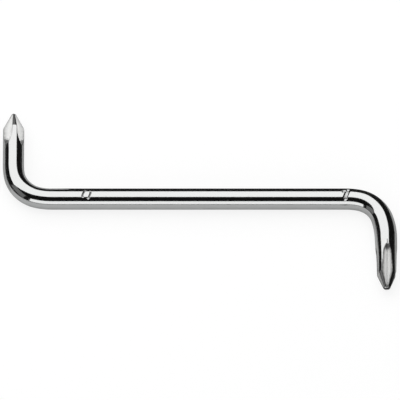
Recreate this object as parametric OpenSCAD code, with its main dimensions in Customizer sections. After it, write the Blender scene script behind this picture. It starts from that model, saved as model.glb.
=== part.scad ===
// Offset screwdriver: one round bar bent into a Z, with a cross point milled at each end.
// The tool lies flat. X runs along the grip, the small leg points to +Y, the large leg to -Y,
// and the origin is the middle of the footprint, on the surface that the tool lies on.

/* [Bar] */
// Diameter of the round bar
bar_d = 5; // [4:0.25:8]
// Overall length, over the outer sides of both legs
overall_len = 93; // [75:1:150]
// Straight length that each arm keeps between the grip and its bend
bend_lead = 1.5; // [1.5:0.1:4]

/* [Small end] */
// Radius of the small arm's bend, at the middle of the bar
small_bend_r = 8; // [5.5:0.1:12]
// Straight length of the small leg, from the bend to the end of the point
small_leg_len = 14.7; // [13:0.1:30]
// Diameter of the small point at its blunt end
small_tip_d = 0.9; // [0.7:0.02:1.4]
// Angle between the small point's axis and the outside of its cone
small_cone_angle = 26.5; // [20:0.5:35]
// Thickness of the small point's wings at the blunt end
small_wing_t = 0.48; // [0.3:0.02:0.6]
// Straight length of the small point's flutes, before they run out
small_flute_len = 5.7; // [4:0.1:7]
// Height of the small point's ribs above the bottom of the flutes
small_rib_h = 0.12; // [0.05:0.01:0.2]
// Turn of the small point about its leg
small_turn = -6; // [-45:1:45]

/* [Large end] */
// Radius of the large arm's bend, at the middle of the bar
large_bend_r = 9; // [5.5:0.1:12]
// Straight length of the large leg, from the bend to the end of the point
large_leg_len = 14.9; // [13.5:0.1:30]
// Diameter of the large point at its blunt end
large_tip_d = 1.48; // [1:0.02:2]
// Angle between the large point's axis and the outside of its cone
large_cone_angle = 24; // [20:0.5:35]
// Thickness of the large point's wings at the blunt end
large_wing_t = 0.74; // [0.5:0.02:0.9]
// Straight length of the large point's flutes, before they run out
large_flute_len = 8.3; // [6:0.1:9]
// Height of the large point's ribs above the bottom of the flutes
large_rib_h = 0.18; // [0.05:0.01:0.3]
// Turn of the large point about its leg
large_turn = 49; // [0:1:90]

/* [Milling] */
// Angle by which the bottom of a flute leans away from the axis
root_angle = 5.5; // [3:0.5:8]
// Diameter of the vee cutter that leaves the round run-outs
cutter_d = 11.6; // [9:0.2:16]
// Plain round length that a point keeps behind its run-outs
point_neck = 0.8; // [0.5:0.1:1.2]
// Bevel round the blunt end of a point
tip_bevel = 0.1; // [0.05:0.01:0.2]

/* [Size numerals] */
// Height of the numerals stamped in the top of the bar
mark_h = 2.8; // [2.2:0.1:3]
// Width of the nought
mark_w = 1.85; // [1.2:0.05:2]
// Width of the nought's stroke
mark_stroke = 0.3; // [0.15:0.05:0.5]
// Width of the stem of the one
mark_stem = 0.8; // [0.3:0.05:1]
// Depth of the stamping
mark_depth = 0.18; // [0.05:0.01:0.3]
// Length of the flag of the one
mark_flag = 1.3; // [0.5:0.1:1.4]
// Angle by which the numerals lean
mark_slant = 20; // [0:1:25]
// Distance of the nought from the small end of the grip
small_mark_in = 7.8; // [2:0.1:20]
// Distance of the one from the large end of the grip, on the large arm
large_mark_out = 1.1; // [0.9:0.1:1.5]

/* [Hidden] */
$fn = 96;

// Slope of the flag of the one
flag_angle = 40;
// Overrun of every cut past the face that it opens
cut_over = 0.5;

bar_r = bar_d / 2;
cutter_r = cutter_d / 2;
leg_x = (overall_len - bar_d) / 2;
small_reach = small_bend_r + small_leg_len;
large_reach = large_bend_r + large_leg_len;
mid_y = (small_reach - large_reach) / 2;
grip_start = -leg_x + small_bend_r + bend_lead;
grip_end = leg_x - large_bend_r - bend_lead;

// Distance of a flute's bottom from the axis, at the blunt end, for wings of thickness t
function root_at_tip(t) = t / sqrt(2);

// Place of the cutter's axis at the end of a flute's straight length: from the axis, from the tip
function cutter_x(t, len) = root_at_tip(t) + len * sin(root_angle) + cutter_r * cos(root_angle);
function cutter_z(t, len) = len * cos(root_angle) - cutter_r * sin(root_angle);

// Distance from the blunt end to where the flutes leave the bar's surface
function flutes_end(t, len) =
    cutter_z(t, len) + sqrt(pow(cutter_r, 2) - pow(cutter_x(t, len) - bar_r, 2));

small_point_len = flutes_end(small_wing_t, small_flute_len) + point_neck;
large_point_len = flutes_end(large_wing_t, large_flute_len) + point_neck;

// Outline of a flute, which opens to +X, with a rib along its bottom
function flute_outline(rib_h) = [
    [bar_r, bar_r],
    [rib_h, rib_h],
    [2 * rib_h, 0],
    [rib_h, -rib_h],
    [bar_r, -bar_r]
];

// The same outline on the rim of the cutter, which turns about Z
function cutter_outline(rib_h) = [for (p = flute_outline(rib_h)) [cutter_r - p[0], p[1]]];

// One flute, to +X of a point that stands on its blunt end
module flute(wing_t, len, rib_h) {
    translate([root_at_tip(wing_t), 0, 0])
        rotate([0, root_angle, 0]) {
            translate([0, 0, -cut_over])
                linear_extrude(len + cut_over)
                    polygon(flute_outline(rib_h));
            translate([cutter_r, 0, len])
                rotate([90, 0, 180])
                    rotate_extrude(angle = 90)
                        polygon(cutter_outline(rib_h));
        }
}

// A cross point that stands on its blunt end, with one wing facing +Y
module cross_point(len, tip_d, cone_angle, wing_t, flute_len, rib_h, turn) {
    tip_r = tip_d / 2;
    cone_len = (bar_r - tip_r) / tan(cone_angle);
    difference() {
        rotate_extrude()
            polygon([
                [0, 0],
                [tip_r - tip_bevel, 0],
                [tip_r, tip_bevel],
                [bar_r, cone_len],
                [bar_r, len],
                [0, len]
            ]);
        for (quarter = [0:3])
            rotate([0, 0, turn + 45 + 90 * quarter])
                flute(wing_t, flute_len, rib_h);
    }
}

// Frames at the corners of the Z: the grip leaves along +X, the leg along +Y
module at_small_corner() {
    translate([-leg_x, -mid_y, bar_r])
        children();
}

module at_large_corner() {
    translate([leg_x, -mid_y, bar_r])
        rotate([0, 0, 180])
            children();
}

// A straight length of bar along +X
module straight(len) {
    rotate([0, 90, 0])
        cylinder(d = bar_d, h = len);
}

// An arm: the lead from the grip, the bend and the start of the leg
module arm(bend_r, leg_start) {
    translate([bend_r, 0, 0])
        straight(bend_lead);
    translate([bend_r, bend_r, 0])
        rotate([0, 0, 180])
            rotate_extrude(angle = 90)
                translate([bend_r, 0])
                    circle(d = bar_d);
    translate([0, bend_r, 0])
        rotate([0, 0, 90])
            straight(leg_start);
}

// A point at the end of its leg
module leg_end(reach) {
    translate([0, reach, 0])
        rotate([90, 0, 0])
            children();
}

// A block with round ends, standing on Z = 0
module round_block(w, h, t) {
    translate([-w / 2, (w - h) / 2, 0])
        cube([w, h - w, t]);
    for (side = [-1, 1])
        translate([0, side * (h - w) / 2, 0])
            cylinder(d = w, h = t);
}

module nought() {
    difference() {
        round_block(mark_w, mark_h, bar_r + cut_over);
        translate([0, 0, -cut_over])
            round_block(
                mark_w - 2 * mark_stroke,
                mark_h - 2 * mark_stroke,
                bar_r + 3 * cut_over
            );
    }
}

module one() {
    translate([-mark_stem / 2, -mark_h / 2, 0])
        cube([mark_stem, mark_h, bar_r + cut_over]);
    translate([0, mark_h / 2, 0])
        rotate([0, 0, 180 + flag_angle])
            cube([mark_flag, mark_stroke, bar_r + cut_over]);
}

// Stamps a numeral in the top of the bar, to an even depth
module stamp(x) {
    difference() {
        translate([x, 0, 0])
            children();
        translate([x - mark_h, 0, 0])
            rotate([0, 90, 0])
                cylinder(r = bar_r - mark_depth, h = 2 * mark_h);
    }
}

module grip_bar() {
    color("gainsboro")
        translate([0, -mid_y, bar_r])
            difference() {
                translate([grip_start, 0, 0])
                    straight(grip_end - grip_start);
                stamp(grip_start + small_mark_in)
                    rotate([0, 0, -mark_slant])
                        nought();
            }
}

module small_arm() {
    color("silver")
        at_small_corner()
            arm(small_bend_r, small_leg_len - small_point_len);
}

module large_arm() {
    color("silver")
        at_large_corner()
            difference() {
                arm(large_bend_r, large_leg_len - large_point_len);
                stamp(large_bend_r + bend_lead - large_mark_out)
                    rotate([0, 0, 180 - mark_slant])
                        one();
            }
}

module small_point() {
    color("lightgray")
        at_small_corner()
            leg_end(small_reach)
                cross_point(
                    small_point_len,
                    small_tip_d,
                    small_cone_angle,
                    small_wing_t,
                    small_flute_len,
                    small_rib_h,
                    small_turn
                );
}

module large_point() {
    color("lightgray")
        at_large_corner()
            leg_end(large_reach)
                cross_point(
                    large_point_len,
                    large_tip_d,
                    large_cone_angle,
                    large_wing_t,
                    large_flute_len,
                    large_rib_h,
                    large_turn
                );
}

grip_bar();
small_arm();
large_arm();
small_point();
large_point();
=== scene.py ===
# Offset screwdriver: one bright plated bar bent into a Z, with a cross point at each end.
import math

import bmesh
import bpy
from mathutils import Matrix, Vector


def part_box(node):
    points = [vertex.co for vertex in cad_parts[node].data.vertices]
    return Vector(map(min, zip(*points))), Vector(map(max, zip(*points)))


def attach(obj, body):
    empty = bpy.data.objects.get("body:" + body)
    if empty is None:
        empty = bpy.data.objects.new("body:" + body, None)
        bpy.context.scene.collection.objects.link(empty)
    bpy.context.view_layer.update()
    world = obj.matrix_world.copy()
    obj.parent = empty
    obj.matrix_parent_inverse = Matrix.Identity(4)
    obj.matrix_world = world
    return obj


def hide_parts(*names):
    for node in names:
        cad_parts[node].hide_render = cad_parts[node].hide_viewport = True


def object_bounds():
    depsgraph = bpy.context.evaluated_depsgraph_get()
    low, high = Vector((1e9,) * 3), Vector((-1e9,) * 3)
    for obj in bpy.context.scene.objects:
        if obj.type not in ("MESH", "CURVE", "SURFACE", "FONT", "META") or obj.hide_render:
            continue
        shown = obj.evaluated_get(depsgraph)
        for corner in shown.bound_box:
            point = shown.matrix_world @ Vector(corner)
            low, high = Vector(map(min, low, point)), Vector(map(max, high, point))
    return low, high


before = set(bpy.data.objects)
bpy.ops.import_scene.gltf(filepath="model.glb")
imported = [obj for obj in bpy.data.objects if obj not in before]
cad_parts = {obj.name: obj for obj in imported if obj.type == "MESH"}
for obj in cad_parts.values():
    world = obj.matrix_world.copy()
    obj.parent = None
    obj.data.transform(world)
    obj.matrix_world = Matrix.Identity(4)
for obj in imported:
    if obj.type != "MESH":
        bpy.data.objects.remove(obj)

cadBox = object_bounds()
mm = 0.001
rightAngle = math.pi / 2
print("frame loaded")


# Helpers that work as a hand at the keyboard does

def deselectEverything():
    if bpy.context.object and bpy.context.object.mode != "OBJECT":
        bpy.ops.object.mode_set(mode="OBJECT")
    bpy.ops.object.select_all(action="DESELECT")


def selectPiece(piece):
    deselectEverything()
    piece.select_set(True)
    bpy.context.view_layer.objects.active = piece


def startEditing(piece):
    selectPiece(piece)
    bpy.ops.object.mode_set(mode="EDIT")
    bpy.ops.mesh.select_mode(type="VERT")
    bpy.ops.mesh.select_all(action="SELECT")


def stopEditing():
    bpy.ops.object.mode_set(mode="OBJECT")


def addCircle(name, sides, place, turn=(0, 0, 0)):
    deselectEverything()
    bpy.ops.mesh.primitive_circle_add(
        vertices=sides, radius=barRadius, fill_type="NOTHING", location=place, rotation=turn,
    )
    piece = bpy.context.object
    piece.name = name
    bpy.ops.object.transform_apply(location=True, rotation=True, scale=True)
    return piece


def extrudeBy(step):
    bpy.ops.mesh.extrude_region_move(TRANSFORM_OT_translate={"value": step})


def closeEnds():
    bpy.ops.mesh.select_all(action="SELECT")
    bpy.ops.mesh.fill_holes(sides=0)
    bpy.ops.mesh.select_all(action="SELECT")
    bpy.ops.mesh.normals_make_consistent(inside=False)


def selectVertices(piece, chosen):
    mesh = bmesh.from_edit_mesh(piece.data)
    for vert, choice in zip(mesh.verts, chosen):
        vert.select = choice
    mesh.select_flush_mode()
    bmesh.update_edit_mesh(piece.data)


def placePiece(piece, matrix):
    piece.matrix_world = matrix @ piece.matrix_world
    selectPiece(piece)
    bpy.ops.object.transform_apply(location=True, rotation=True, scale=True)


def smoothPiece(piece):
    selectPiece(piece)
    bpy.ops.object.shade_smooth_by_angle(angle=bar["smoothAngle"])


def stationsFrom(start, end, step):
    # Even stations after start, up to and with end
    count = max(1, round(abs(end - start) / step))
    return [start + (end - start) * (i + 1) / count for i in range(count)]


# Where things lie, read from the frame

gripLow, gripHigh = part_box("grip_bar")
smallPointLow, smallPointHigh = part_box("small_point")
largePointLow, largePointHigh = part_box("large_point")
smallArmLow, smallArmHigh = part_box("small_arm")
largeArmLow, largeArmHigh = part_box("large_arm")

barRadius = (gripHigh.z - gripLow.z) / 2
farOut = 3 * barRadius          # well outside the bar
axisHeight = (gripHigh.z + gripLow.z) / 2
gripY = (gripHigh.y + gripLow.y) / 2
smallLegX = cadBox[0].x + barRadius
largeLegX = cadBox[1].x - barRadius

# A corner's own frame has the grip along +X and the leg along +Y
smallCorner = Matrix.Translation((smallLegX, gripY, axisHeight))
halfTurn = Matrix.Rotation(math.pi, 4, "Z")
largeCorner = Matrix.Translation((largeLegX, gripY, axisHeight)) @ halfTurn


# The bar and its two bends. Each bend is three arcs, because it eases in and out of the straight.

bar = {
    "sides": 128,               # sides of the round bar
    "gripStep": 4 * mm,         # length of a face along the grip
    "bendStep": 0.2 * mm,       # along a bend
    "legStep": 0.4 * mm,        # and along the start of a leg
    "easeRadius": 16 * mm,      # radius at both ends of a bend
    "smoothAngle": math.radians(40),
    "mergeWithin": 0.001 * mm,  # rings that a spin leaves double become one
}
smallBend = {
    "radius": 7.25 * mm,
    "easeIn": math.radians(12),    # angle over which the bend eases in, next to the grip
    "easeOut": math.radians(10),   # and out, next to the leg
    "swell": 0.15 * mm,            # height of the swelling on the inside of the bend
    "swellAt": 7.4 * mm,           # its place along the bend
    "swellReach": 6 * mm,          # and how far it runs to each side
}
largeBend = {
    "radius": 7.75 * mm,
    "easeIn": math.radians(10),
    "easeOut": math.radians(18),
    "swell": 0.32 * mm,
    "swellAt": 14 * mm,
    "swellReach": 8 * mm,
}


def bendArcs(bend):
    # The centre and radius of each arc, and the turns where it starts and ends
    ease, radius = bar["easeRadius"], bend["radius"]
    first, last = bend["easeIn"], rightAngle - bend["easeOut"]
    sinFirst, cosFirst, sinLast, cosLast = (
        math.sin(first), math.cos(first), math.sin(last), math.cos(last))
    run = ease * (1 + sinFirst - sinLast) + radius * (sinLast - sinFirst)
    rise = ease * (1 - cosFirst + cosLast) + radius * (cosFirst - cosLast)
    middle = Vector((run, ease)) - (ease - radius) * Vector((sinFirst, cosFirst))
    return [
        (Vector((run, ease)), ease, 0, first),
        (middle, radius, first, last),
        (Vector((ease, rise)), ease, last, rightAngle),
    ]


smallBend["arcs"] = bendArcs(smallBend)
largeBend["arcs"] = bendArcs(largeBend)


def bendStart(bend):
    # Distance of the first arc from the corner, along the grip
    return bend["arcs"][0][0].x


def straightenBend(place, bend):
    # Distance along the bar from the start of the bend, distance towards the inside, and the turn
    if place.x >= bendStart(bend):
        return bendStart(bend) - place.x, place.y, 0
    along = 0
    for centre, radius, start, end in bend["arcs"]:
        turn = math.atan2(centre.x - place.x, centre.y - place.y)
        if turn < end:
            across = radius - math.hypot(centre.x - place.x, centre.y - place.y)
            return along + radius * (turn - start), across, turn
        along += radius * (end - start)
    return along + place.y - centre.y, place.x, rightAngle


def swellBend(piece, bend):
    # The bar is a little fuller on the inside of a bend
    for vert in piece.data.vertices:
        along, across, turn = straightenBend(vert.co, bend)
        near = max(0, 1 - ((along - bend["swellAt"]) / bend["swellReach"]) ** 2)
        push = bend["swell"] * near ** 2 * max(0, across / barRadius) ** 2
        vert.co.x += push * math.sin(turn)
        vert.co.y += push * math.cos(turn)


# Every piece carries barSpace: the distance along the bent bar, and the place across it.
# A pattern on it follows the bar round its bends and runs on from piece to piece.

def setBarSpace(piece, straighten):
    layer = piece.data.attributes.new("barSpace", "FLOAT_VECTOR", "POINT")
    for vert, row in zip(piece.data.vertices, layer.data):
        row.vector = straighten(vert.co)


def straightenGrip(place):
    return (place.x, place.y - gripY, place.z - axisHeight)


def straightenCorner(place, corner, bend, side):
    local = corner.inverted() @ place
    along, across, turn = straightenBend(local, bend)
    start = corner.translation.x - side * bendStart(bend)
    return (start + side * along, -side * across, local.z)


def setMask(piece, name, values):
    layer = piece.data.attributes.new(name, "FLOAT", "POINT")
    for row, value in zip(layer.data, values):
        row.value = value


# The numerals: a nought stamped in the top of the grip, and a one where the large arm starts

numerals = {
    "sides": 384,               # sides of the bar under a numeral
    "step": 0.045 * mm,         # length of a face there
    "reach": 1.96 * mm,         # of these faces, to each side of the nought
    "presses": 12,              # passes of the stamp
    "height": 2.8 * mm,
    "slant": math.radians(20),
}
nought = {
    "in": 7.8 * mm,             # from the small end of the grip
    "width": 1.85 * mm,
    "stroke": 0.25 * mm,        # halfway down its sloping sides
    "slope": 0.25 * mm,         # width of a sloping side
    "depth": 0.15 * mm,
    "fadeFrom": 0.95 * mm,      # from the middle, where the round bar falls away under the stamp
    "fade": 1.5,                # how fast the stroke then narrows
}
one = {
    "out": 1.1 * mm,            # from the large end of the grip, on the arm
    "stem": 0.9 * mm,           # width of the stem
    "stroke": 0.3 * mm,         # and of the flag
    "flag": 1.3 * mm,           # length of the flag
    "flagAngle": math.radians(40),
    "slope": 0.32 * mm,
    "depth": 0.21 * mm,
}


def distanceToNought(x, y):
    # Distance outside the stroke, below 0 within it
    bow = (nought["width"] - nought["stroke"]) / 2
    rise = (numerals["height"] - nought["width"]) / 2
    fade = nought["fade"] * max(abs(y) - nought["fadeFrom"], 0)
    return abs(math.hypot(x, max(abs(y) - rise, 0)) - bow) - nought["stroke"] / 2 + fade


def distanceToLine(x, y, start, end):
    line = end - start
    share = max(0, min(1, (Vector((x, y)) - start).dot(line) / line.length_squared))
    return (Vector((x, y)) - start - share * line).length


def distanceToOne(x, y):
    foot = Vector((0, (one["stem"] - numerals["height"]) / 2))
    flag = Vector((math.cos(one["flagAngle"]), math.sin(one["flagAngle"]))) * one["flag"]
    top = Vector((0, (numerals["height"] - one["stroke"]) / 2))
    stem = distanceToLine(x, y, foot, -foot) - one["stem"] / 2
    return min(stem, distanceToLine(x, y, top, top - flag) - one["stroke"] / 2)


def stampNumeral(piece, x, numeral, distance):
    # A stroke is pressed in a little at a time, each time a little narrower
    turn = Matrix.Rotation(numerals["slant"], 2)
    farAway = numerals["height"]
    topOfBar = axisHeight + barRadius / 2

    def beside(place):
        if abs(place.x - x) > farAway or place.z < topOfBar:
            return farAway
        return distance(*(turn @ Vector((place.x - x, place.y - gripY))))

    distances = [beside(vert.co) for vert in piece.data.vertices]
    startEditing(piece)
    for press in range(numerals["presses"]):
        reach = numeral["slope"] * (0.5 - (press + 0.5) / numerals["presses"])
        selectVertices(piece, [here < reach for here in distances])
        bpy.ops.transform.translate(value=(0, 0, -numeral["depth"] / numerals["presses"]))
    stopEditing()
    bottom = -numeral["slope"] / 2
    setMask(piece, "stampedMask", [1.0 if here < bottom else 0.0 for here in distances])


# The grip

def buildGrip():
    noughtX = gripLow.x + nought["in"]
    reach = numerals["reach"]
    stations = stationsFrom(gripLow.x, noughtX - reach, bar["gripStep"])
    stations += stationsFrom(noughtX - reach, noughtX + reach, numerals["step"])
    stations += stationsFrom(noughtX + reach, gripHigh.x, bar["gripStep"])
    start = (gripLow.x, gripY, axisHeight)
    piece = addCircle("gripBar", numerals["sides"], start, (0, rightAngle, 0))
    startEditing(piece)
    here = gripLow.x
    for station in stations:
        extrudeBy((station - here, 0, 0))
        here = station
    closeEnds()
    stopEditing()
    setBarSpace(piece, straightenGrip)
    stampNumeral(piece, noughtX, nought, distanceToNought)
    smoothPiece(piece)
    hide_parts("grip_bar")
    return piece


# An arm: the lead from the grip, the bend in three arcs, and the plain start of the leg

def buildArm(name, node, corner, bend, start, legEnd, side, stamped=False):
    sides, leadStep = bar["sides"], bar["bendStep"]
    if stamped:
        sides, leadStep = numerals["sides"], numerals["step"]
    piece = addCircle(name, sides, (start, 0, 0), (0, rightAngle, 0))
    startEditing(piece)
    here = start
    for station in stationsFrom(start, bendStart(bend), leadStep):
        extrudeBy((station - here, 0, 0))
        here = station
    steps = (leadStep, bar["bendStep"], bar["bendStep"])
    for (centre, radius, begin, end), step in zip(bend["arcs"], steps):
        bpy.ops.mesh.spin(
            steps=round(radius * (end - begin) / step), angle=end - begin,
            center=(*centre, 0), axis=(0, 0, 1),
        )
    here = centre.y
    for station in stationsFrom(here, legEnd, bar["legStep"]):
        extrudeBy((0, station - here, 0))
        here = station
    bpy.ops.mesh.select_all(action="SELECT")
    bpy.ops.mesh.remove_doubles(threshold=bar["mergeWithin"])
    closeEnds()
    stopEditing()
    swellBend(piece, bend)
    placePiece(piece, corner)
    setBarSpace(piece, lambda place: straightenCorner(place, corner, bend, side))
    if stamped:
        oneX = corner.translation.x - side * (start - one["out"])
        stampNumeral(piece, oneX, one, distanceToOne)
    smoothPiece(piece)
    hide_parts(node)
    return piece


# A cross point: a cone with four milled flutes, each with a rib along its bottom

milling = {
    "rootAngle": math.radians(5.5), # by which the bottom of a flute leans away from the axis
    "cutterRadius": 5.8 * mm,
    "rounding": 0.05 * mm,      # how far a milled edge is rounded over
    "ribRounding": 0.015 * mm,
    "shoulderRounding": 0.1 * mm,
    "tipBevel": 0.1 * mm,
    "milledBlend": 0.05 * mm,   # depth at which a surface counts as milled
    "edgeWidth": 0.11 * mm,     # width of the line of painted shade and added roughness along a milled edge
    "ribRubbed": 0.85,          # share of the rib's half width that is rubbed bright
    "ribFade": 0.25,            # and the share over which it turns satin
    "satinEnd": 0.9 * mm,       # from the straight length to where the run-out turns bright
    "satinFade": 0.8 * mm,
    "runOutSatin": 0.2,         # how satin a run-out stays
}
smallTip = {
    "tipRadius": 0.45 * mm,     # at the blunt end
    "coneAngle": math.radians(26.5),
    "wingThickness": 0.48 * mm,
    "fluteLength": 5.7 * mm,    # the straight length, before the run-out
    "ribHeight": 0.12 * mm,
    "turn": math.radians(-6),   # about the leg
    "edgeShadeAndWear": 0.6,                # how dark the painted shade on its milled edges is, and how much rougher they get
}
largeTip = {
    "tipRadius": 0.74 * mm,
    "coneAngle": math.radians(24),
    "wingThickness": 0.74 * mm,
    "fluteLength": 8.3 * mm,
    "ribHeight": 0.18 * mm,
    "turn": math.radians(49),
    "edgeShadeAndWear": 1,
}

# How the faces of a point are laid out, along it and round it
pointFaces = {
    "bevelShares": (0, 0.3, 0.6, 0.85, 1.1, 1.5), # along the bevel, and just past it
    "coneStep": 0.14 * mm,
    "shoulderReach": 0.15 * mm, # of the fine faces, to each side of the shoulder
    "shoulderStep": 0.05 * mm,
    "fluteStep": 0.3 * mm,
    "runOutStep": 0.1 * mm,
    "ribShares": (0, 0.12, 0.35, 0.65, 0.88, 1, 1.12), # from the rib's top to just past its foot
    "wallShares": (0.3, 0.6, 1),                       # on up the wall of the flute
    "edgeSteps": (-1.2, -0.6, -0.2, 0.2, 0.6, 1.2),    # over its edge, in roundings
    "edgeReach": 2,                                    # from the edge, also in roundings
    "leastWall": 3.5,                                  # between rib and edge
    "widestRounding": math.radians(4),
    "widestMouth": math.radians(42),                   # of half a flute
    "wingShares": (0, 0.2, 0.4, 0.6, 0.8, 1),          # and out to the middle of the wing
    "halvings": 26,             # of a span, to find a place on the surface
    "sameWithin": 0.0001 * mm,  # two vertices this near are one
}


def smoothMin(a, b, width):
    share = max(0, min(1, 0.5 + 0.5 * (b - a) / width))
    return b + (a - b) * share - width * share * (1 - share)


def smoothMax(a, b, width):
    return -smoothMin(-a, -b, width)


def bodyRadius(tip, z):
    # The blank before the flutes are milled: tip bevel, cone and round bar
    cone = tip["tipRadius"] + z * math.tan(tip["coneAngle"])
    bevel = tip["tipRadius"] - milling["tipBevel"] + z
    blank = smoothMin(cone, barRadius, milling["shoulderRounding"])
    return min(blank, smoothMin(blank, bevel, milling["rounding"]))


def fluteDepth(tip, y):
    # Height of the flute's outline above its lowest line, at y beside the middle of the flute
    rib = 2 * tip["ribHeight"] - math.hypot(y, milling["ribRounding"])
    return smoothMax(abs(y), rib, milling["ribRounding"])


def fluteFloor(tip, y, z):
    # Distance of the flute's surface from the axis, on the plane through the middle of the flute
    lean = milling["rootAngle"]
    start = tip["wingThickness"] / math.sqrt(2)
    depth = fluteDepth(tip, y)
    straight = start + z * math.tan(lean) + depth / math.cos(lean)
    if (straight - start) * math.sin(lean) + z * math.cos(lean) <= tip["fluteLength"]:
        return straight
    radius = milling["cutterRadius"]
    cutterX = start + tip["fluteLength"] * math.sin(lean) + radius * math.cos(lean)
    cutterZ = tip["fluteLength"] * math.cos(lean) - radius * math.sin(lean)
    inside = (radius - depth) ** 2 - (z - cutterZ) ** 2
    return cutterX - math.sqrt(inside) if inside > 0 else farOut


def findEdge(low, high, isBelow):
    # The span is halved again and again, round the value where isBelow stops being true
    for halving in range(pointFaces["halvings"]):
        middle = (low + high) / 2
        if isBelow(middle):
            low = middle
        else:
            high = middle
    return high


def fluteRadius(tip, angle, z):
    def isBelow(radius):
        return radius * math.cos(angle) < fluteFloor(tip, radius * math.sin(angle), z)

    return findEdge(0, farOut, isBelow)


def mouthAngle(tip, z):
    # Angle from the middle of the flute to its edge on the blank
    radius = bodyRadius(tip, z)

    def isBelow(angle):
        return fluteFloor(tip, radius * math.sin(angle), z) < radius * math.cos(angle)

    return findEdge(0, pointFaces["widestMouth"], isBelow)


def ringAngles(tip, z):
    # Angles of one eighth of a ring, from the middle of a flute to the middle of a wing
    rounding = min(milling["rounding"] / bodyRadius(tip, z), pointFaces["widestRounding"])
    foot = math.atan2(tip["ribHeight"], fluteFloor(tip, tip["ribHeight"], z))
    mouth = max(mouthAngle(tip, z), foot + pointFaces["leastWall"] * rounding)
    angles = [foot * share for share in pointFaces["ribShares"]]
    wallStart, wallEnd = angles[-1], mouth - pointFaces["edgeReach"] * rounding
    angles += [wallStart + (wallEnd - wallStart) * share for share in pointFaces["wallShares"]]
    angles += [mouth + rounding * step for step in pointFaces["edgeSteps"]]
    wing = mouth + pointFaces["edgeReach"] * rounding
    angles += [wing + (rightAngle / 2 - wing) * share for share in pointFaces["wingShares"]]
    return angles


def ringPlaces(tip, z):
    blank = bodyRadius(tip, z)
    half = [(angle, smoothMin(blank, fluteRadius(tip, angle, z), milling["rounding"]))
            for angle in ringAngles(tip, z)]
    mirrored = [(rightAngle - angle, radius) for angle, radius in half]
    quarter = half + mirrored[-2:0:-1]     # without the two lines that the halves share
    places = []
    for turn in range(4):
        for angle, radius in quarter:
            around = angle + tip["turn"] + rightAngle / 2 + turn * rightAngle
            places.append(Vector((radius * math.cos(around), radius * math.sin(around), z)))
    return places


def placeKey(place):
    return tuple(round(value / pointFaces["sameWithin"]) for value in place)


def moveRing(piece, before, after):
    # The new ring lies on the one it was extruded from, so each vertex is known by its place
    mesh = bmesh.from_edit_mesh(piece.data)
    ring = [vert for vert in mesh.verts if vert.select]
    order = {placeKey(place): i for i, place in enumerate(before)}
    for vert in ring:
        vert.co = after[order[placeKey(vert.co)]]
    bmesh.update_edit_mesh(piece.data)


def clamp(value):
    return max(0.0, min(1.0, value))


def angleInFlute(tip, place):
    # Angle from the middle of the nearest flute
    return abs((math.atan2(place.y, place.x) - tip["turn"]) % rightAngle - rightAngle / 2)


def milledShare(tip, place):
    # 1 on a satin milled surface, 0 on what is left of the blank and on the rubbed ribs
    radius = math.hypot(place.x, place.y)
    cut = clamp((bodyRadius(tip, place.z) - radius) / milling["milledBlend"])
    beside = radius * math.sin(angleInFlute(tip, place)) / tip["ribHeight"]
    satin = clamp((beside - milling["ribRubbed"]) / milling["ribFade"])
    satinEnd = tip["fluteLength"] + milling["satinEnd"]
    runOut = clamp((place.z - satinEnd) / milling["satinFade"])
    return cut * satin * (1 - runOut * (1 - milling["runOutSatin"]))


def edgeShadeAndWearShare(tip, place):
    # Painted shade and added roughness, greatest on the edge between a flute and the blank,
    # fading beside it
    radius = math.hypot(place.x, place.y)
    aside = (angleInFlute(tip, place) - mouthAngle(tip, place.z)) * radius
    return tip["edgeShadeAndWear"] * math.exp(-(aside / milling["edgeWidth"]) ** 2)


def pointStations(tip, length):
    # From the back of the point to its blunt end
    shoulder = (barRadius - tip["tipRadius"]) / math.tan(tip["coneAngle"])
    reach = pointFaces["shoulderReach"]
    stations = [milling["tipBevel"] * share for share in pointFaces["bevelShares"]]
    stations += stationsFrom(stations[-1], shoulder - reach, pointFaces["coneStep"])
    stations += stationsFrom(shoulder - reach, shoulder + reach, pointFaces["shoulderStep"])
    stations += stationsFrom(shoulder + reach, tip["fluteLength"], pointFaces["fluteStep"])
    stations += stationsFrom(tip["fluteLength"], length, pointFaces["runOutStep"])
    return stations[::-1]


def buildPoint(name, node, corner, tip, reach, length, bend, side):
    stations = pointStations(tip, length)
    places = ringPlaces(tip, stations[0])
    piece = addCircle(name, len(places), (0, 0, stations[0]))
    for vert, place in zip(piece.data.vertices, places):
        vert.co = place
    startEditing(piece)
    for station in stations[1:]:
        before, places = places, ringPlaces(tip, station)
        bpy.ops.mesh.extrude_region_move()
        moveRing(piece, before, places)
    closeEnds()
    stopEditing()
    # The masks: the satin flutes, which also carry painted sheen, and their edges, which carry
    # painted shade and roughness
    for maskName, share in (("milledMask", milledShare), ("edgeShadeAndWearMask", edgeShadeAndWearShare)):
        setMask(piece, maskName, [share(tip, vert.co) for vert in piece.data.vertices])
    legEnd = Matrix.Translation((0, reach, 0)) @ Matrix.Rotation(rightAngle, 4, "X")
    placePiece(piece, legEnd)
    swellBend(piece, bend)
    placePiece(piece, corner)
    setBarSpace(piece, lambda place: straightenCorner(place, corner, bend, side))
    smoothPiece(piece)
    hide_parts(node)
    return piece


gripBar = buildGrip()
print("grip modelled")
smallArm = buildArm("smallArm", "small_arm", smallCorner, smallBend,
                    smallArmHigh.x - smallLegX, smallArmHigh.y - gripY, -1)
largeArm = buildArm("largeArm", "large_arm", largeCorner, largeBend,
                    largeLegX - largeArmLow.x, gripY - largeArmLow.y, 1, stamped=True)
print("arms modelled")
smallPoint = buildPoint("smallPoint", "small_point", smallCorner, smallTip,
                        smallPointHigh.y - gripY, smallPointHigh.y - smallPointLow.y,
                        smallBend, -1)
largePoint = buildPoint("largePoint", "large_point", largeCorner, largeTip,
                        gripY - largePointLow.y, largePointHigh.y - largePointLow.y,
                        largeBend, 1)
print("points modelled")


# Materials: bright chrome plating, with the polishing lines of the bar under it

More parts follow.
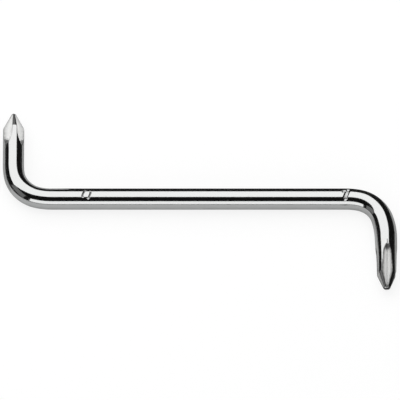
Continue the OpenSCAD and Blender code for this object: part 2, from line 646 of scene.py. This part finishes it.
def newGroup(name, inputs, outputs):
    group = bpy.data.node_groups.new(name, "ShaderNodeTree")
    for socketName, value in inputs.items():
        socket = group.interface.new_socket(
            socketName, in_out="INPUT", socket_type="NodeSocketFloat")
        socket.default_value = value
    for socketName in outputs:
        group.interface.new_socket(socketName, in_out="OUTPUT", socket_type="NodeSocketFloat")
    return group, group.nodes.new("NodeGroupInput"), group.nodes.new("NodeGroupOutput")


def addNode(tree, kind, **settings):
    # A setting that names a socket goes there, and any other is the node's own
    node = tree.nodes.new(kind)
    for name, value in settings.items():
        if name in node.inputs:
            node.inputs[name].default_value = value
        else:
            setattr(node, name, value)
    return node


def fillSockets(tree, sockets, values):
    # A value is linked where it comes from another node, and set where it is plain
    for socket, value in zip(sockets, values):
        if isinstance(value, bpy.types.NodeSocket):
            tree.links.new(value, socket)
        elif value is not None:
            socket.default_value = value


def addMath(tree, operation, first, second=None, third=None):
    node = addNode(tree, "ShaderNodeMath", operation=operation)
    fillSockets(tree, node.inputs, (first, second, third))
    return node.outputs[0]


def addMix(tree, share, first, second):
    node = addNode(tree, "ShaderNodeMix", data_type="RGBA")
    colourSockets = (node.inputs[0], node.inputs[6], node.inputs[7])
    fillSockets(tree, colourSockets, (share, first, second))
    return node.outputs[2]


def addNoise(tree, vector, scale=1, detail=2, roughness=0.5):
    noise = addNode(tree, "ShaderNodeTexNoise", Scale=scale, Detail=detail, Roughness=roughness)
    tree.links.new(vector, noise.inputs["Vector"])
    return noise.outputs


def readMask(tree, name):
    return addNode(tree, "ShaderNodeAttribute", attribute_name=name).outputs["Fac"]


def readBarSpace(tree):
    return addNode(tree, "ShaderNodeAttribute", attribute_name="barSpace").outputs["Vector"]


def stretchBarSpace(tree, along, across):
    # The place along and across the bar, scaled apart, so that a noise becomes lines
    parts = tree.nodes.new("ShaderNodeSeparateXYZ")
    joined = tree.nodes.new("ShaderNodeCombineXYZ")
    tree.links.new(readBarSpace(tree), parts.inputs[0])
    for i, scale in enumerate((along, across, across)):
        tree.links.new(addMath(tree, "MULTIPLY", parts.outputs[i], scale), joined.inputs[i])
    return joined.outputs[0]


# The scales of the patterns are in spots per metre

polishLines = {
    "along": 60, "across": 9000, "detail": 3, "roughness": 0.6,
    "dullFrom": 0.55, "dullTo": 0.8,            # heights over which a line turns dull
}
platingRipple = {
    "along": 250, "across": 700, "detail": 2, "roughness": 0.45,
    "cloudScale": 0.35, "cloudDetail": 4, "cloudRoughness": 0.6,
}
fineScratches = {
    "scale": 900, "amount": 0.06,
    "thickness": 0.012,
    "sway": 2 * mm,                             # how far a scratch bends
    "swayScale": 300, "swayDetail": 1,
    "breakScale": 700, "breakDetail": 2,
    "breakLevel": 0.7,                          # above it, less the amount, a scratch is there
}
millingMarks = {
    "along": 9000, "across": 500, "detail": 2,
    "patchScale": 1800, "patchDetail": 4, "patchRoughness": 0.65,
    "milledGain": 0.6, "milledStart": 0.65,     # from the patches to how milled a surface looks
    "shadeAndWearGain": 2.4, "shadeAndWearStart": -0.4,         # and to how much painted shade and roughness its edges get
}


def makePolishLines():
    look = polishLines
    group, given, out = newGroup(
        "polishLines", {"Along": look["along"], "Across": look["across"]}, ("Height", "Dullness"))
    vector = stretchBarSpace(group, given.outputs["Along"], given.outputs["Across"])
    height = addNoise(group, vector, detail=look["detail"], roughness=look["roughness"])["Fac"]
    lines = addNode(group, "ShaderNodeMapRange", interpolation_type="SMOOTHSTEP")
    lines.inputs["From Min"].default_value = look["dullFrom"]
    lines.inputs["From Max"].default_value = look["dullTo"]
    group.links.new(height, lines.inputs["Value"])
    group.links.new(height, out.inputs["Height"])
    group.links.new(lines.outputs["Result"], out.inputs["Dullness"])
    return group


def makePlatingRipple():
    look = platingRipple
    group, given, out = newGroup(
        "platingRipple", {"Along": look["along"], "Across": look["across"]}, ("Height", "Cloud"))
    vector = stretchBarSpace(group, given.outputs["Along"], given.outputs["Across"])
    height = addNoise(group, vector, detail=look["detail"], roughness=look["roughness"])["Fac"]
    cloud = addNoise(group, vector, look["cloudScale"], look["cloudDetail"],
                     look["cloudRoughness"])["Fac"]
    group.links.new(height, out.inputs["Height"])
    group.links.new(cloud, out.inputs["Cloud"])
    return group


def makeFineScratches():
    look = fineScratches
    group, given, out = newGroup(
        "fineScratches", {"Scale": look["scale"], "Amount": look["amount"]}, ("Scratch",))
    place = readBarSpace(group)
    sway = addNoise(group, place, look["swayScale"], look["swayDetail"])["Color"]
    bent = addNode(group, "ShaderNodeVectorMath", operation="MULTIPLY_ADD")
    fillSockets(group, bent.inputs, (sway, [look["sway"]] * 3, place))
    cells = addNode(group, "ShaderNodeTexVoronoi", feature="DISTANCE_TO_EDGE")
    group.links.new(bent.outputs[0], cells.inputs["Vector"])
    group.links.new(given.outputs["Scale"], cells.inputs["Scale"])
    thin = addMath(group, "LESS_THAN", cells.outputs["Distance"], look["thickness"])
    breaks = addNoise(group, place, look["breakScale"], look["breakDetail"])["Fac"]
    level = addMath(group, "SUBTRACT", look["breakLevel"], given.outputs["Amount"])
    kept = addMath(group, "GREATER_THAN", breaks, level)
    group.links.new(addMath(group, "MULTIPLY", thin, kept), out.inputs["Scratch"])
    return group


def makeMillingMarks():
    # Lines across a flute, and where its edges get painted shade and more roughness
    look = millingMarks
    group, given, out = newGroup(
        "millingMarks", {"Along": look["along"], "Across": look["across"]},
        ("Height", "Milled", "EdgeShadeAndWear"))
    milled, edge = readMask(group, "milledMask"), readMask(group, "edgeShadeAndWearMask")
    vector = stretchBarSpace(group, given.outputs["Along"], given.outputs["Across"])
    lines = addNoise(group, vector, detail=look["detail"])["Fac"]
    patches = addNoise(group, readBarSpace(group), look["patchScale"], look["patchDetail"],
                       look["patchRoughness"])["Fac"]
    uneven = addMath(group, "MULTIPLY_ADD", patches, look["milledGain"], look["milledStart"])
    uneven = addMath(group, "MINIMUM", uneven, 1)
    shadeAndWear = addMath(group, "MULTIPLY_ADD", patches, look["shadeAndWearGain"], look["shadeAndWearStart"])
    shadeAndWear = addMath(group, "MAXIMUM", addMath(group, "MINIMUM", shadeAndWear, 1), 0)
    group.links.new(addMath(group, "MULTIPLY", lines, milled), out.inputs["Height"])
    group.links.new(addMath(group, "MULTIPLY", milled, uneven), out.inputs["Milled"])
    group.links.new(addMath(group, "MULTIPLY", edge, shadeAndWear), out.inputs["EdgeShadeAndWear"])
    return group


# What all the plating has in common, and then the bar's own and the points' own finish

plating = {
    "lineRoughness": 0.03,      # added on a dull line
    "scratchRoughness": 0.15,   # in a scratch
    "cloudRoughness": 0.04,     # from the brightest to the dullest cloud
}
chrome = {
    "colour": (0.66, 0.667, 0.665, 1),
    "roughness": 0.09,
    "stampedRoughness": 0.3,    # added on the bottom of a stamped stroke
    "rippleDepth": 0.0015 * mm,
    "lineDepth": 0.00012 * mm,
    "scratchDepth": 0.0006 * mm,
}
milledChrome = {
    "colour": (0.66, 0.663, 0.66, 1),
    # satin milled steel, painted paler: painted sheen for the bright floor that the flute walls
    # mirror
    "milledSheenColour": (0.88, 0.88, 0.87, 1),
    # painted shade: near black on the milled edges, for the dark that their rounding mirrors
    "edgeShadeColour": (0.05, 0.05, 0.05, 1),
    "roughness": 0.12,
    "milledRoughness": 0.25,    # added in a flute
    # only partly metal, so that the painted pale colour of the flutes shows as painted sheen
    "milledMetallic": 0.25,
    "edgeRoughness": 0.3,       # added on a milled edge, under its painted shade
    "millingDepth": 0.0008 * mm,
    "rippleDepth": 0.0012 * mm,
    "lineDepth": 0.00015 * mm,
    "scratchDepth": 0.0006 * mm,
}


def placeGroup(tree, group):
    node = tree.nodes.new("ShaderNodeGroup")
    node.node_tree = group
    return node.outputs


def addBump(tree, height, distance, before=None):
    bump = addNode(tree, "ShaderNodeBump", Strength=1, Distance=distance)
    tree.links.new(height, bump.inputs["Height"])
    if before:
        tree.links.new(before, bump.inputs["Normal"])
    return bump.outputs["Normal"]


def makeChrome(name, look, groups):
    material = bpy.data.materials.new(name)
    material.use_nodes = True
    tree = material.node_tree
    shader = tree.nodes["Principled BSDF"]
    shader.inputs["Metallic"].default_value = 1
    shader.inputs["Base Color"].default_value = look["colour"]
    ripple = placeGroup(tree, groups["ripple"])
    lines = placeGroup(tree, groups["lines"])
    scratch = placeGroup(tree, groups["scratches"])["Scratch"]
    normal = addBump(tree, ripple["Height"], look["rippleDepth"])
    normal = addBump(tree, lines["Height"], look["lineDepth"], normal)
    unscratched = addMath(tree, "SUBTRACT", 1, scratch)
    normal = addBump(tree, unscratched, look["scratchDepth"], normal)
    cloudy = plating["cloudRoughness"]
    cloud = addMath(tree, "MULTIPLY_ADD", ripple["Cloud"], cloudy, -cloudy / 2)
    rough = addMath(tree, "ADD", look["roughness"], cloud)
    rough = addMath(tree, "MULTIPLY_ADD", lines["Dullness"], plating["lineRoughness"], rough)
    rough = addMath(tree, "MULTIPLY_ADD", scratch, plating["scratchRoughness"], rough)
    if "stampedRoughness" in look:
        stamped = readMask(tree, "stampedMask")
        rough = addMath(tree, "MULTIPLY_ADD", stamped, look["stampedRoughness"], rough)
    else:
        marks = placeGroup(tree, groups["milling"])
        milled, edgeShadeAndWear = marks["Milled"], marks["EdgeShadeAndWear"]
        normal = addBump(tree, marks["Height"], look["millingDepth"], normal)
        rough = addMath(tree, "MULTIPLY_ADD", milled, look["milledRoughness"], rough)
        rough = addMath(tree, "MULTIPLY_ADD", edgeShadeAndWear, look["edgeRoughness"], rough)
        # Painted sheen: the flutes take a pale colour and are made partly non-metal, on top of
        # their real satin roughness
        colour = addMix(tree, milled, look["colour"], look["milledSheenColour"])
        # Painted shade: the milled edges are darkened towards near black
        colour = addMix(tree, edgeShadeAndWear, colour, look["edgeShadeColour"])
        metal = addMath(tree, "MULTIPLY_ADD", milled, look["milledMetallic"] - 1, 1)
        tree.links.new(colour, shader.inputs["Base Color"])
        tree.links.new(metal, shader.inputs["Metallic"])
    tree.links.new(normal, shader.inputs["Normal"])
    tree.links.new(rough, shader.inputs["Roughness"])
    return material


groups = {"ripple": makePlatingRipple(), "lines": makePolishLines(),
          "scratches": makeFineScratches(), "milling": makeMillingMarks()}
barChrome = makeChrome("barChrome", chrome, groups)
pointChrome = makeChrome("pointChrome", milledChrome, groups)
finishes = [(gripBar, barChrome, "bar_chrome"), (smallArm, barChrome, "bar_chrome"),
            (largeArm, barChrome, "bar_chrome"), (smallPoint, pointChrome, "point_chrome"),
            (largePoint, pointChrome, "point_chrome")]
for piece, material, slot in finishes:
    piece.data.materials.append(material)
    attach(piece, "root")
print("chrome laid on")


# The studio: a soft box overhead, cards round the tool, and black flats round them all. A card
# is a flat lamp that fills the box from low to high and shines the way that it faces.

cards = {
    "softBox": {
        "low": (-0.55, -0.028, 0.4), "high": (0.22, 0.82, 0.4), "facing": (0, 0, -1),
        "radiance": 1.27,
    },
    "frontCard": {
        "low": (-0.34, -0.45, 0.036), "high": (0.34, -0.45, 0.352), "facing": (0, 1, 0),
        "radiance": 1.2,
    },
    "leftCard": {
        "low": (-0.5, -0.42, 0.07), "high": (-0.5, -0.044, 0.5), "facing": (1, 0, 0),
        "radiance": 0.173,
    },
    "backCard": {               # for views from the back
        "low": (0.8, -0.85, 0.3), "high": (0.8, -0.4, 0.75), "facing": (-1, 0, 0),
        "radiance": 0.8, "metalOnly": True,
    },
    "tipCard": {                # for the topmost wing of the small point
        "low": (-0.05, 0.055, 0.003), "high": (-0.038, 0.055, 0.018), "facing": (0, -1, 0),
        "radiance": 0.19, "metalOnly": True,
    },
}
studio = {
    "floorSize": 6,
    "floorColour": 0.5,
    "floorColourSeen": 0.2,     # less of its colour where the camera sees it, for a paler shadow
    "floorLift": 0.82,          # added to the floor there
    "floorLiftInMetal": 0.1,    # and where the metal mirrors it
    "skyOnFloor": 0.42,         # strength of the sky for all but what the camera sees
    "flatColour": 0.022,
    "shadowSheetGrey": 0.45,        # of the grey sheets of painted shadow
    "tentCentre": (0, 0, 0.35),
    "tentSize": (1.8, 1.9, 1.1),
}

# Sheets of painted shade lie on the floor, and only reflections show them: black ones behind and
# beside the tool and beside its large point, grey ones beside its legs as painted shadow there.
# Their corners are in millimetres.
shadeSheets = [
    {"name": "blackShadeSheet", "grey": studio["flatColour"], "height": 0.05 * mm, "outlines": [
        [(-37, 3.3), (42, 3.3), (64, 14), (64, -60), (400, -60), (400, 600), (-400, 600),
         (-400, -60), (-64, -60), (-64, 40), (-37, 40), (-37, 24), (-31, 22), (-31, 10)],
        [(34, -60), (66, -60), (66, -20), (47, -20), (47, -24.5), (41.5, -24.5), (41.5, -21),
         (34, -21)],
    ]},
    # painted shadow of the tool on the floor beside its legs
    {"name": "greyShadowSheet", "grey": studio["shadowSheetGrey"], "height": 0.03 * mm, "outlines": [
        [(-66, 2), (-47, 2), (-47, 50), (-66, 50)],
        [(-41, 10), (-25, 10), (-25, 50), (-41, 50)],
        [(47, -50), (66, -50), (66, 14), (47, 14)],
    ]},
]


def greyColour(value):
    return (value, value, value, 1)


def addCard(name, low, high, facing, radiance, metalOnly=False):
    size = Vector(high) - Vector(low)
    turn = Vector(facing).to_track_quat("-Z", "Y")
    across, upward = turn @ Vector((1, 0, 0)), turn @ Vector((0, 1, 0))
    data = bpy.data.lights.new(name, "AREA")
    data.shape = "RECTANGLE"
    data.size = sum(abs(a * b) for a, b in zip(across, size))
    data.size_y = sum(abs(a * b) for a, b in zip(upward, size))
    data.energy = radiance * math.pi * data.size * data.size_y
    lamp = bpy.data.objects.new(name, data)
    lamp.location = (Vector(low) + Vector(high)) / 2
    lamp.rotation_euler = turn.to_euler()
    lamp.visible_camera = False
    lamp.visible_diffuse = not metalOnly
    bpy.context.scene.collection.objects.link(lamp)


def makeFlatFinish(name, grey):
    material = bpy.data.materials.new(name)
    material.use_nodes = True
    shader = material.node_tree.nodes["Principled BSDF"]
    shader.inputs["Base Color"].default_value = greyColour(grey)
    shader.inputs["Roughness"].default_value = 1
    shader.inputs["Specular IOR Level"].default_value = 0
    return material


def hideFlat(flat, material):
    # A flat is seen in reflections only, and shades nothing
    flat.data.materials.append(material)
    flat.visible_camera = False
    flat.visible_diffuse = False
    flat.visible_shadow = False
    flat.visible_transmission = False


def addTent():
    deselectEverything()
    bpy.ops.mesh.primitive_cube_add(
        size=1, location=studio["tentCentre"], scale=studio["tentSize"])
    tent = bpy.context.object
    tent.name = "blackTent"
    startEditing(tent)
    bpy.ops.mesh.select_mode(type="FACE")
    mesh = bmesh.from_edit_mesh(tent.data)
    for face in mesh.faces:
        face.select = face.normal.z < -0.5     # its open bottom
    bmesh.update_edit_mesh(tent.data)
    bpy.ops.mesh.delete(type="FACE")
    stopEditing()
    hideFlat(tent, makeFlatFinish("blackFlat", studio["flatColour"]))


# A sheet of painted shade on the floor, which only reflections show
def addShadeSheet(name, outline, height, material):
    data = bpy.data.meshes.new(name)
    corners = [(x * mm, y * mm, height) for x, y in outline]
    data.from_pydata(corners, [], [range(len(corners))])
    shadeSheet = bpy.data.objects.new(name, data)
    bpy.context.scene.collection.objects.link(shadeSheet)
    hideFlat(shadeSheet, material)


def addFloor():
    deselectEverything()
    bpy.ops.mesh.primitive_plane_add(size=studio["floorSize"], location=(0, 0, 0))
    floor = bpy.context.object
    floor.name = "floor"
    material = bpy.data.materials.new("paleFloor")
    material.use_nodes = True
    tree = material.node_tree
    tree.nodes.clear()
    paint = addNode(tree, "ShaderNodeBsdfDiffuse")
    lift = addNode(tree, "ShaderNodeEmission", Color=(1, 1, 1, 1))
    path = tree.nodes.new("ShaderNodeLightPath").outputs
    seen = path["Is Camera Ray"]
    mirrored = addMath(tree, "MAXIMUM", path["Is Glossy Ray"], path["Is Transmission Ray"])
    colour = addMix(tree, seen, greyColour(studio["floorColour"]),
                    greyColour(studio["floorColourSeen"]))
    strength = addMath(tree, "MULTIPLY", mirrored, studio["floorLiftInMetal"])
    strength = addMath(tree, "MULTIPLY_ADD", seen, studio["floorLift"], strength)
    both = tree.nodes.new("ShaderNodeAddShader")
    out = tree.nodes.new("ShaderNodeOutputMaterial")
    tree.links.new(colour, paint.inputs["Color"])
    tree.links.new(strength, lift.inputs["Strength"])
    tree.links.new(paint.outputs[0], both.inputs[0])
    tree.links.new(lift.outputs[0], both.inputs[1])
    tree.links.new(both.outputs[0], out.inputs["Surface"])
    floor.data.materials.append(material)


def addSky():
    # White for what the camera sees, straight or in metal and glass
    world = bpy.data.worlds.new("studioSky")
    bpy.context.scene.world = world
    world.use_nodes = True
    world.cycles.sampling_method = "NONE"
    tree = world.node_tree
    sky = tree.nodes["Background"]
    sky.inputs["Color"].default_value = (1, 1, 1, 1)
    path = tree.nodes.new("ShaderNodeLightPath").outputs
    seen = addMath(tree, "MAXIMUM", path["Is Camera Ray"], path["Is Glossy Ray"])
    seen = addMath(tree, "MAXIMUM", seen, path["Is Transmission Ray"])
    strength = addMath(tree, "MAXIMUM", seen, studio["skyOnFloor"])
    tree.links.new(strength, sky.inputs["Strength"])


for name, card in cards.items():
    addCard(name, **card)
addTent()
for shadeSheet in shadeSheets:
    finish = makeFlatFinish(shadeSheet["name"], shadeSheet["grey"])
    for outline in shadeSheet["outlines"]:
        addShadeSheet(shadeSheet["name"], outline, shadeSheet["height"], finish)
addFloor()
addSky()
bpy.context.scene.view_settings.view_transform = "Standard"
print("studio lit")


# The camera, far off with a long lens, so that the bar keeps its width

view = {
    "elevation": math.radians(62),
    "distance": 3.5,
    "frameWidth": 94.37 * mm,   # width of the picture where the bar lies
    "sensor": 36,               # in millimetres, as Blender counts it
    "down": 0.217 * mm,         # the bar lies this far above the middle of the picture
    "right": 0.07 * mm,         # and its middle this far left of it
    "nearest": 0.01,            # what the camera sees lies between these distances
    "farthest": 20,
}


def addCamera():
    data = bpy.data.cameras.new("camera")
    camera = bpy.data.objects.new("camera", data)
    bpy.context.scene.collection.objects.link(camera)
    level, steep = math.cos(view["elevation"]), math.sin(view["elevation"])
    back, upward = Vector((0, -level, steep)), Vector((0, steep, level))
    target = Vector((view["right"], gripY, axisHeight)) - upward * view["down"]
    camera.location = target + back * view["distance"]
    camera.rotation_euler = (rightAngle - view["elevation"], 0, 0)
    data.sensor_width = view["sensor"]
    data.lens = view["sensor"] * view["distance"] / view["frameWidth"]
    data.clip_start = view["nearest"]
    data.clip_end = view["farthest"]
    bpy.context.scene.camera = camera


addCamera()
print("camera placed")
